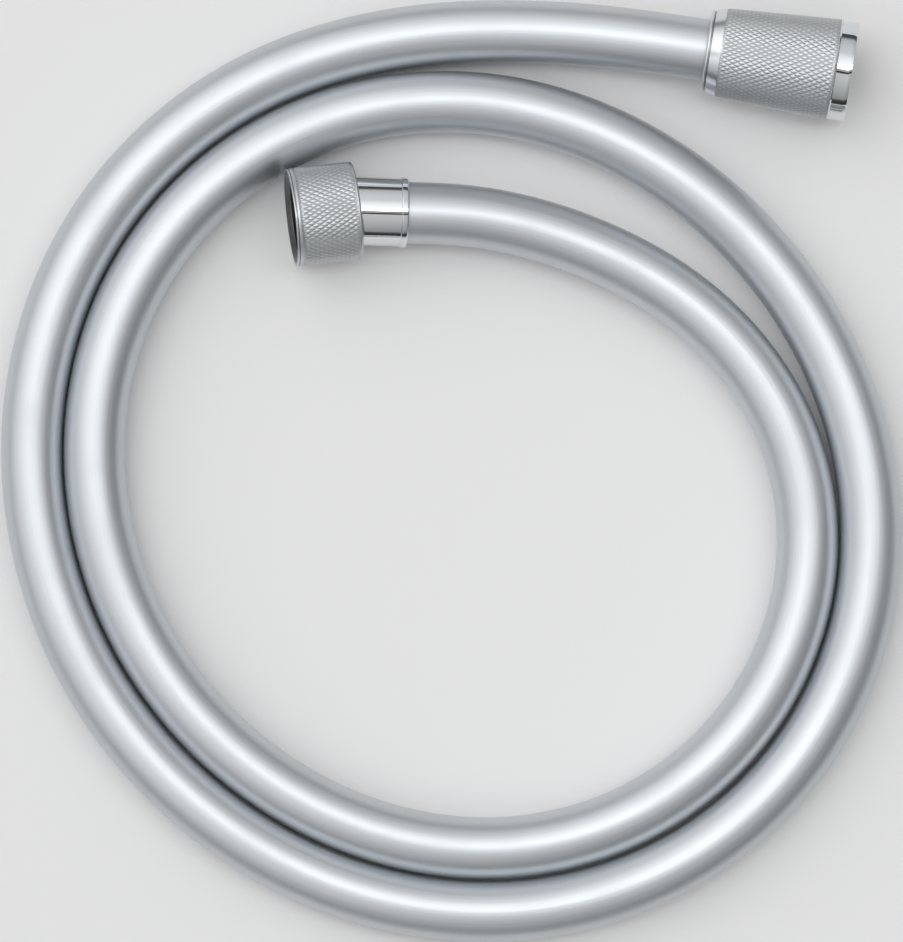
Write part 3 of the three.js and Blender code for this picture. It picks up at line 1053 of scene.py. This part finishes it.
@dataclass
class Hose:
    """The hose itself: one smooth flexible tube with a round bore.

    Args:
        outer_rings: rings along its outside.
        bore_rings: rings along its bore.
        columns: columns around it.
    """

    outer_rings: int = 560
    bore_rings: int = 200
    columns: int = 64

    @staticmethod
    def _rings(route: HoseRoute, count: int, radius: float) -> list[Ring]:
        """Rings along the route.

        Args:
            route: the line that the hose follows.
            count: how many rings.
            radius: their radius, in millimetres.

        Returns:
            The rings, from the conical nut to the knurled nut.
        """
        rings = []
        for point, direction, distance in zip(*route.evenly(count)):
            side = np.cross(np.array(UP), direction)
            side /= np.linalg.norm(side)
            over = np.cross(direction, side)
            rings.append(Ring(tuple(point * MM), tuple(side), tuple(over), radius * MM, distance * MM))
        return rings

    def build(self, route: HoseRoute, shop: Workshop) -> Object:
        """Makes the hose and lets it stand for its solid.

        Args:
            route: the line that it follows.
            shop: what it is made with.

        Returns:
            The hose.
        """
        outside = self._rings(route, self.outer_rings, HOSE_RADIUS)
        bore = self._rings(route, self.bore_rings, HOSE_BORE_RADIUS)[::-1]
        finish = shop.materials[SATIN_HOSE]
        piece = shop.surface.build("hose", [*outside, *bore], finish, Columns=self.columns)
        self.centres = [r.centre for r in outside]
        self.length = float(route.evenly(self.outer_rings)[2][-1]) * MM
        return finish_piece(piece, "hose", "satin_hose", "hose_tube")

    def declare(self, piece: Object, others: Sequence[Object]) -> None:
        """Says that the hose is a free hose of its real length.

        Args:
            piece: the hose.
            others: the pieces on it.
        """
        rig.cord(
            piece,
            exit=self.centres[0],
            length=self.length,
            diameter=2 * HOSE_RADIUS * MM,
            far_end="fitting",
            stiffness="stiff",
            lay="loose",
            path=self.centres,
            with_pieces=list(others),
        )
        log.info("the hose is %.4f m long between its cut ends", self.length)


def threaded_bore(open_end: float, thread_back: float, shade: float) -> list[Corner]:
    """Corners of a nut's thread and the relief behind it, from the open end inwards, in millimetres.

    Args:
        open_end: height of the nut's open end.
        thread_back: height at which the thread ends.
        shade: painted shading in the bore, how much darker it is.

    Returns:
        The corners.
    """
    crest = THREAD_CREST_RADIUS
    # Every corner carries the bore's painted shading
    return [
        Corner(crest + THREAD_LEAD_IN, open_end, 0.08, BORE_DULL, shade),
        Corner(crest, open_end - THREAD_LEAD_IN, 0.2, BORE_DULL, shade, Band.THREAD),
        Corner(crest, thread_back + THREAD_RUN_OUT, 0.0, BORE_DULL, shade),
        Corner(THREAD_RELIEF_RADIUS, thread_back, 0.0, BORE_DULL, shade),
    ]


def washer(name: str, back: float) -> TurnedPiece:
    """A sealing washer, given its name and the height of its back."""
    rows = ((5.8, 0.0), (9.0, 0.0, 0.15), (9.0, 2.0, 0.25), (5.8, 2.0, 0.2))
    return TurnedPiece(name, corners_at(rows, height=back), columns=96)


def barbed_end() -> list[Corner]:
    """The end of a tail that is in the hose, with its four barbs, in millimetres.

    Returns:
        Its corners, up to the neck in front of the hose.
    """
    crest, root, setback, count, ramp = 3.7, 3.25, 1.2, 4, 0.8
    neck, neck_front = 4.2, 1.3
    pitch = (BARB_STRETCH - setback) / count
    corners = [Corner(TAIL_BORE_RADIUS, -BARB_STRETCH)]
    for k in range(count):
        start = -BARB_STRETCH + k * pitch
        corners += [Corner(root, start), Corner(crest, start + ramp * pitch)]
    return [*corners, Corner(root, TOUCH_GAP), Corner(neck, TOUCH_GAP), Corner(neck, neck_front)]


@dataclass
class ConicalNutEnd:
    """The handset end: the long conical union nut, its washer and the spindle tail.

    All heights are measured from the hose's cut end, towards the open end of the nut.

    Args:
        rear: height of the nut's narrow end.
        open_end: height of its open end.
        rear_radius: the rear collar's radius at its narrow end.
        rear_flare_radius: the rear collar's radius beside the knurl.
        knurl_rear_radius: the knurl's radius at its narrow end.
        knurl_front_radius: the knurl's radius at its wide end.
        front_radius: the front collar's radius.
        rear_collar: the rear collar's length.
        front_collar: the front collar's length.
        mouth_length: stretch at the narrow end that closes in on the hose.
        shoulder: height of the shoulder that the bush bears on.
        thread_back: height at which the thread ends.
        ferrule_room: radius of the room around the ferrule.
        knurl_foot: stretch between the rear collar and the foot of the knurl's slope.
        knurl_slope: stretch between the rear collar and the knurl, and the front slope's height.
        undercut: width of the groove between the knurl and the front collar.
        undercut_depth: how much deeper that groove is than the knurl's.
        bore_shade: painted shading, how much darker the nut is inside.
        washer_back: height of the washer's back.
        knurl: the knurl.
        rear_rows: the rear collar's rounded edge, groove and flare, from its radius and its narrow end; the groove
            carries painted shading.
        front_rows: the front collar's edge, from its radius and the open end.
        spindle_rows: the tail's collar, its grooves for two O-rings and the clip, and its nose.
    """

    rear: float = -13.0
    open_end: float = 21.2
    rear_radius: float = 9.5
    rear_flare_radius: float = 10.3
    knurl_rear_radius: float = 10.45
    knurl_front_radius: float = 11.93
    front_radius: float = 11.6
    rear_collar: float = 3.4
    front_collar: float = 3.7
    mouth_length: float = 3.0
    shoulder: float = 8.6
    thread_back: float = 11.3
    ferrule_room: float = 8.45
    knurl_foot: float = 0.1
    knurl_slope: float = 0.12
    undercut: float = 0.25
    undercut_depth: float = 0.02
    bore_shade: float = 0.7
    washer_back: float = 11.0
    knurl: Knurl = field(default_factory=Knurl)
    rear_rows: Rows = (
        (-0.1, 0.0, 0.5, 0.7),
        (0.08, 0.62, 0.08, 0.6),
        # The groove's two rows carry painted shading
        (-0.16, 0.7, 0.0, 0.6, 0.6),
        (-0.14, 0.98, 0.0, 0.6, 0.6),
        (0.16, 1.08, 0.08, 0.48),
    )
    front_rows: Rows = ((0.0, -0.8, 0.05), (-0.12, 0.0, 0.14))
    spindle_rows: Rows = (
        (8.1, 1.3, 0.1), (8.1, 2.2, 0.1), (5.2, 2.2),
        (5.2, 3.4), (3.3, 3.4), (3.3, 5.4), (5.2, 5.4),
        (5.2, 6.1), (3.3, 6.1), (3.3, 8.1), (5.2, 8.1),
        (5.2, 9.0), (4.6, 9.0), (4.6, 10.4), (5.2, 10.4),
        (5.2, 11.6, 0.3), (TAIL_BORE_RADIUS, 11.6, 0.3),
    )  # fmt: skip

    def _nut(self) -> TurnedPiece:
        """The conical nut's outline.

        Returns:
            The outline.
        """
        mouth = HOSE_RADIUS + SLIDE_GAP
        mouth_front = self.rear + self.mouth_length
        knurl_rear = self.rear + self.rear_collar
        knurl_front = self.open_end - self.front_collar
        groove = self.knurl_front_radius - self.knurl.depth - self.undercut_depth
        inside = (
            (THREAD_RELIEF_RADIUS, self.shoulder),
            (self.ferrule_room, self.shoulder),
            (self.ferrule_room, mouth_front),
            (mouth, mouth_front),
        )
        corners = [
            # The mouth at the narrow end carries the bore's painted shading
            Corner(mouth, self.rear, 0.12, BORE_DULL, self.bore_shade),
            *corners_at(self.rear_rows, self.rear_radius, self.rear),
            Corner(self.rear_flare_radius, knurl_rear, 0.05, dull=0.48),
            Corner(self.knurl_rear_radius - self.knurl.depth, knurl_rear + self.knurl_foot, dull=0.8),
            Corner(self.knurl_rear_radius, knurl_rear + self.knurl_slope, dull=1.0, band=Band.KNURL),
            Corner(self.knurl_front_radius, knurl_front - self.undercut),
            Corner(groove, knurl_front - self.undercut),
            Corner(groove - self.knurl_slope, knurl_front),
            Corner(self.front_radius, knurl_front, 0.06),
            *corners_at(self.front_rows, self.front_radius, self.open_end),
            # The thread and the rooms inside are darkened with painted shading
            *threaded_bore(self.open_end, self.thread_back, self.bore_shade),
            *corners_at([(*row, 0.0, BORE_DULL, self.bore_shade) for row in inside]),
        ]
        return TurnedPiece("conical_union_nut", corners, knurl=self.knurl)

    def build(self, place: Matrix, shop: Workshop) -> list[Object]:
        """Makes this end's pieces.

        Args:
            place: the fitting's place.
            shop: what they are made with.

        Returns:
            The pieces.
        """
        tail = TurnedPiece("spindle_tail", [*barbed_end(), *corners_at(self.spindle_rows)], columns=64)
        seal = washer("handset_washer", self.washer_back)
        return [
            shop.turned(self._nut(), KNURLED_CHROME, place, "handset_nut", "knurled_chrome", "conical_nut"),
            shop.turned(seal, BLACK_RUBBER, place, "handset_nut", "black_rubber", "cone_end_washer"),
            shop.turned(tail, TURNED_BRASS, place, "hose", "brass", "cone_end_tail"),
        ]


@dataclass
class KnurledNutEnd:
    """The wall end: the crimp sleeve, its tail, and the short knurled nut askew on them.

    The sleeve's and the tail's heights are measured from the hose's cut end, and the nut's from the
    middle of its back wall.

    Args:
        sleeve_rows: the sleeve, from its rounded lip to its front and back through its bore.
        flange_rows: the flange that ends the tail.
        nut_radius: the nut's radius over its knurl.
        nut_hole: radius of the hole in its back wall.
        nut_back: height of its back.
        nut_front: height of its open end.
        back_round: the rounded stretch behind the knurl.
        back_slope: the stretch between that and the knurl.
        front_margin: the smooth stretch in front of the knurl.
        thread_back: height at which the thread ends.
        bore_shade: painted shading, how much darker the nut is inside.
        washer_back: height of the washer's back.
        pivot: where the nut's middle sits on the sleeve's axis.
        askew_sideways: how far the nut is turned sideways.
        askew_rise: how far the nut's axis climbs.
        knurl: the knurl.
        front_rows: the smooth stretch's groove and lip, from the nut's radius and its open end; the groove carries
            painted shading.
    """

    sleeve_rows: Rows = (
        (7.5, -13.9, 0.12), (8.25, -13.9, 0.38), (8.25, -12.4, 0.2), (8.0, -12.28, 0.12),
        (8.0, 1.0, 0.4), (4.5, 1.0), (4.5, TOUCH_GAP), (7.5, TOUCH_GAP),
    )  # fmt: skip
    flange_rows: Rows = ((9.1, 1.3, 0.15), (9.1, 2.9, 0.15), (TAIL_BORE_RADIUS, 2.9, 0.25))
    nut_radius: float = 11.55
    nut_hole: float = 8.5
    nut_back: float = -0.8
    nut_front: float = 14.6
    back_round: float = 0.55
    back_slope: float = 0.05
    front_margin: float = 1.2
    thread_back: float = 5.9
    bore_shade: float = 0.75
    washer_back: float = 6.2
    pivot: float = -1.3
    askew_sideways: float = math.radians(8.2)
    askew_rise: float = math.radians(7.0)
    knurl: Knurl = field(default_factory=lambda: Knurl(diamonds=60))
    front_rows: Rows = (
        (-0.1, -1.08, 0.06, 1.0),
        (-0.1, -0.64, 0.06, 1.0),
        # The groove's two rows carry painted shading
        (-0.26, -0.56, 0.04, 0.9, 0.6),
        (-0.26, -0.36, 0.04, 0.9, 0.6),
        (-0.12, -0.3, 0.05, 0.8),
        (-0.12, -0.08, 0.05, 0.8),
        (-0.26, 0.0, 0.05, 0.8),
    )

    def _nut(self) -> TurnedPiece:
        """The knurled nut's outline.

        Returns:
            The outline.
        """
        knurl_back = self.nut_back + self.back_round + self.back_slope
        rounding = self.back_round - self.back_slope
        knurl_front = self.nut_front - self.front_margin
        groove = self.nut_radius - self.knurl.depth
        inside = ((THREAD_RELIEF_RADIUS, -self.nut_back, 0.2), (self.nut_hole, -self.nut_back, 0.15))
        corners = [
            Corner(self.nut_hole, self.nut_back, 0.15, dull=0.6),
            # The rounded back edge carries painted shading
            Corner(groove + 0.02, self.nut_back, rounding, dull=0.6, shade=0.25),
            Corner(self.nut_radius, knurl_back, dull=1.0, band=Band.KNURL),
            Corner(self.nut_radius, knurl_front, dull=1.0),
            Corner(groove, knurl_front, dull=1.0),
            *corners_at(self.front_rows, self.nut_radius, self.nut_front),
            # The thread and the hole are darkened with painted shading
            *threaded_bore(self.nut_front, self.thread_back, self.bore_shade),
            *corners_at([(*row, BORE_DULL, self.bore_shade) for row in inside]),
        ]
        return TurnedPiece("knurled_union_nut", corners, knurl=self.knurl)

    def nut_place(self, sleeve_place: Matrix) -> Matrix:
        """Place of the nut, askew about the middle of its back wall.

        Args:
            sleeve_place: the sleeve's place.

        Returns:
            The nut's place.
        """
        axis = sleeve_place.to_3x3() @ Vector(UP)
        heading = math.atan2(axis.y, axis.x) + self.askew_sideways
        flat = math.cos(self.askew_rise)
        nut_axis = Vector((flat * math.cos(heading), flat * math.sin(heading), math.sin(self.askew_rise)))
        return frame_at(sleeve_place.translation + axis * self.pivot * MM, nut_axis)

    def build(self, place: Matrix, shop: Workshop) -> list[Object]:
        """Makes this end's pieces.

        Args:
            place: the sleeve's place.
            shop: what they are made with.

        Returns:
            The pieces.
        """
        askew = self.nut_place(place)
        sleeve = TurnedPiece("crimp_sleeve", corners_at(self.sleeve_rows), columns=160)
        tail = TurnedPiece("flanged_tail", [*barbed_end(), *corners_at(self.flange_rows)], columns=96)
        seal = washer("wall_washer", self.washer_back)
        return [
            shop.turned(sleeve, BRIGHT_CHROME, place, "hose", "polished_chrome", "wall_end_sleeve"),
            shop.turned(tail, TURNED_BRASS, place, "hose", "brass", "wall_end_tail"),
            shop.turned(self._nut(), KNURLED_CHROME, askew, "wall_nut", "knurled_chrome", "knurled_nut"),
            shop.turned(seal, BLACK_RUBBER, askew, "wall_nut", "black_rubber", "wall_end_washer"),
        ]


@dataclass(frozen=True)
class InnerPieces:
    """The solids inside the conical nut, which keep their shape and get a finish each.

    Args:
        finishes: the finish of each solid.
    """

    finishes: Sequence[tuple[str, Finish]] = (
        ("cone_end_ferrule", TURNED_BRASS),
        ("swivel_bush", WHITE_ACETAL),
        ("spindle_o_ring_rear", BLACK_RUBBER),
        ("spindle_o_ring_front", BLACK_RUBBER),
        ("spindle_clip", SPRING_STEEL),
    )

    def dress(self, materials: dict[Finish, Material]) -> None:
        """Gives each solid its material.

        Args:
            materials: the material of each finish.
        """
        for node, finish in self.finishes:
            mesh = frame["nodes"][node].data
            mesh.materials.clear()
            mesh.materials.append(materials[finish])
            log.info("%s keeps its solid and is dressed in %s", node, finish.name)


@dataclass
class Studio:
    """The floor, the lamps, the world and the camera, in metres.

    Args:
        image_size: width and height of the photograph's frame, in pixels.
        pixel: size of a pixel at the hose's height.
        distance: from the camera to the hose's height.
        hose_height: height of the hose's middle.
        aim: where the camera looks, as (x, y).
        sensor: width of the camera's sensor, in millimetres.
        clip: the nearest and the farthest that the camera sees.
        floor_size: side of the floor.
        floor_grey: how pale the floor is.
        floor_roughness: how matt the floor is.
        floor_specular: how much the floor shines.
        softbox_height: height of the softbox.
        softbox_size: its size along x and y.
        softbox_centre: its middle, as (x, y).
        softbox_radiance: how bright it is.
        sky: brightness of the world, as (height, level) of each stop.
        sky_tilt: how much brighter the world is towards +x and +y.
        rails: where two dark rails lie beside the softbox, as y over height.
        rail_width: width of each rail.
        rail_blur: how soft their edges are.
        rail_level: how dark they are.
        lowest: least height that the rails and the glow are worked out with.
        glow_lean: where the glow beside the softbox fades, as y over height.
        glow_reach: where it fades, as x over height.
        glow_level: how bright it is.
        wing_reach: the x from which the wing beyond the softbox's near end runs.
        wing_width: where it fades sideways.
        wing_level: how bright it is at each end.
    """

    image_size: tuple[int, int] = (903, 942)
    pixel: float = 0.0002346
    distance: float = 1.08
    hose_height: float = 0.0072
    aim: tuple[float, float] = (0.00012, 0.0)
    sensor: float = 36.0
    clip: tuple[float, float] = (0.05, 20.0)
    floor_size: float = 9.0
    floor_grey: float = 0.9
    floor_roughness: float = 0.8
    floor_specular: float = 0.2
    softbox_height: float = 1.6
    softbox_size: tuple[float, float] = (1.5, 0.34)
    softbox_centre: tuple[float, float] = (0.35, 0.18)
    softbox_radiance: float = 2.25
    sky: Sequence[tuple[float, float]] = (
        (0.0, 0.04), (0.19, 0.08), (0.29, 0.43), (0.6, 0.58), (0.88, 0.69), (1.0, 0.69),
    )  # fmt: skip
    sky_tilt: tuple[float, float] = (-0.42, 0.3)
    rails: tuple[float, float] = (-0.165, -0.042)
    rail_width: float = 0.086
    rail_blur: float = 0.008
    rail_level: float = 0.03
    lowest: float = 0.05
    glow_lean: tuple[float, float] = (0.16, 0.8)
    glow_reach: tuple[float, float] = (0.6, 0.9)
    glow_level: float = 0.5
    wing_reach: tuple[float, float] = (-1.0, -0.22)
    wing_width: tuple[float, float] = (0.35, 0.8)
    wing_level: tuple[float, float] = (0.2, 0.58)

    @staticmethod
    def _placed(name: str, data: bpy.types.ID, place: Sequence[float] = (0.0, 0.0, 0.0)) -> Object:
        """Puts an object in the scene.

        Args:
            name: its name.
            data: its data.
            place: where it goes.

        Returns:
            The object.
        """
        made = bpy.data.objects.new(name, data)
        made.location = place
        bpy.context.scene.collection.objects.link(made)
        return made

    def make_camera(self) -> None:
        """Makes the camera that looks straight down, as the photograph does."""
        data = bpy.data.cameras.new("camera")
        data.sensor_width = self.sensor
        data.lens = self.sensor * self.distance / (max(self.image_size) * self.pixel)
        data.clip_start, data.clip_end = self.clip
        place = (*self.aim, self.hose_height + self.distance)
        bpy.context.scene.camera = self._placed("camera", data, place)
        log.info("camera: %.1f mm lens, %.3f m above the hose", data.lens, self.distance)

    def make_floor(self) -> None:
        """Makes the plain pale floor."""
        half = self.floor_size / 2
        mesh = bpy.data.meshes.new("floor")
        corners = [(-half, -half, 0), (half, -half, 0), (half, half, 0), (-half, half, 0)]
        mesh.from_pydata(corners, [], [(0, 1, 2, 3)])
        material = bpy.data.materials.new("pale_floor")
        material.use_nodes = True
        w = Wiring(material.node_tree)
        shader = next(n for n in w.tree.nodes if n.type == "BSDF_PRINCIPLED")
        grey = (self.floor_grey, self.floor_grey, self.floor_grey, 1.0)
        w.feed(shader, {"Base Color": grey, "Roughness": self.floor_roughness})
        w.feed(shader, {"Specular IOR Level": self.floor_specular})
        mesh.materials.append(material)
        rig.stage(self._placed("floor", mesh))

    def make_softbox(self) -> None:
        """Makes the softbox overhead."""
        data = bpy.data.lights.new("softbox", "AREA")
        data.shape = "RECTANGLE"
        data.size, data.size_y = self.softbox_size
        data.energy = self.softbox_radiance * math.pi * self.softbox_size[0] * self.softbox_size[1]
        self._placed("softbox", data, (*self.softbox_centre, self.softbox_height))

    def make_world(self) -> None:
        """Makes the world around, whose brightness follows the direction."""
        world = bpy.data.worlds.new("studio")
        world.use_nodes = True
        w = Wiring(world.node_tree)
        background = next(n for n in w.tree.nodes if n.type == "BACKGROUND")
        direction = w.add("ShaderNodeTexCoord").outputs["Generated"]
        x, y, z = w.add("ShaderNodeSeparateXYZ", {0: direction}).outputs
        ramp = w.add("ShaderNodeValToRGB", {0: z})
        stops = ramp.color_ramp.elements
        while len(stops) < len(self.sky):
            stops.new(0.5)
        for stop, (place, level) in zip(stops, self.sky):
            stop.position = place
            stop.color = (level, level, level, 1.0)
        tilt = w.math("MULTIPLY_ADD", x, self.sky_tilt[0], 1.0)
        tilt = w.math("MULTIPLY_ADD", y, self.sky_tilt[1], tilt)
        level = w.math("MULTIPLY", ramp.outputs[0], tilt)

        # Two thin dark rails beside the softbox, and a glow where its far side fades
        height = w.math("MAXIMUM", z, self.lowest)
        lean = w.math("DIVIDE", y, height)
        beside = w.math("ABSOLUTE", w.math("SUBTRACT", lean, sum(self.rails) / 2))
        beside = w.math("ABSOLUTE", w.math("SUBTRACT", beside, (self.rails[1] - self.rails[0]) / 2))
        inner, outer = self.rail_width / 2 - self.rail_blur, self.rail_width / 2 + self.rail_blur
        level = w.math("MULTIPLY", level, w.ranged(beside, inner, outer, self.rail_level, 1.0))
        glow = w.ranged(lean, *self.glow_lean, self.glow_level, 0.0, smooth=True)
        glow = w.math("MULTIPLY", glow, w.math("GREATER_THAN", lean, 0.0))
        reach = w.math("ABSOLUTE", w.math("DIVIDE", x, height))
        glow = w.math("MULTIPLY", glow, w.ranged(reach, *self.glow_reach, 1.0, 0.0, smooth=True))

        # A broad soft wing that goes on from the softbox's near end and fades away from it
        wing = w.ranged(x, *self.wing_reach, *self.wing_level)
        end = w.ranged(x, self.wing_reach[1], 0.0, 1.0, 0.0, smooth=True)
        beside = w.math("ABSOLUTE", w.math("SUBTRACT", y, self.softbox_centre[1]))
        side = w.ranged(beside, *self.wing_width, 1.0, 0.0, smooth=True)
        wing = w.math("MULTIPLY", wing, w.math("MULTIPLY", end, side))
        total = w.math("ADD", w.math("ADD", level, glow), wing)
        w.feed(background, {"Color": (1.0, 1.0, 1.0, 1.0), "Strength": total})
        bpy.context.scene.world = world

    def build(self) -> None:
        """Makes the whole studio."""
        bpy.context.scene.view_settings.view_transform = "Standard"
        self.make_camera()
        self.make_floor()
        self.make_softbox()
        self.make_world()


def write_sizes() -> None:
    """Writes the solids' box and the finished model's box, in metres."""
    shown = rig.bounds()
    sizes = {"cad": [list(corner) for corner in cad_box], "visual": [list(corner) for corner in shown]}
    with open("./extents.json", "w") as file:
        json.dump(sizes, file, indent=1)


def main() -> None:
    """Builds the studio and the shower hose."""
    logging.basicConfig(level=logging.INFO, format="%(name)s: %(message)s")
    Studio().build()
    route = HoseRoute()
    surface = RingSurface()
    effects = EffectGroups()
    shop = Workshop(surface, {finish: finish.build(effects) for finish in EVERY_FINISH})
    hose = Hose()
    tube = hose.build(route, shop)
    handset_end = ConicalNutEnd().build(route.end_frame(True), shop)
    wall_end = KnurledNutEnd().build(route.end_frame(False), shop)
    InnerPieces().dress(shop.materials)
    hose.declare(tube, [*handset_end, *wall_end])
    write_sizes()


if __name__ == "__main__":
    main()
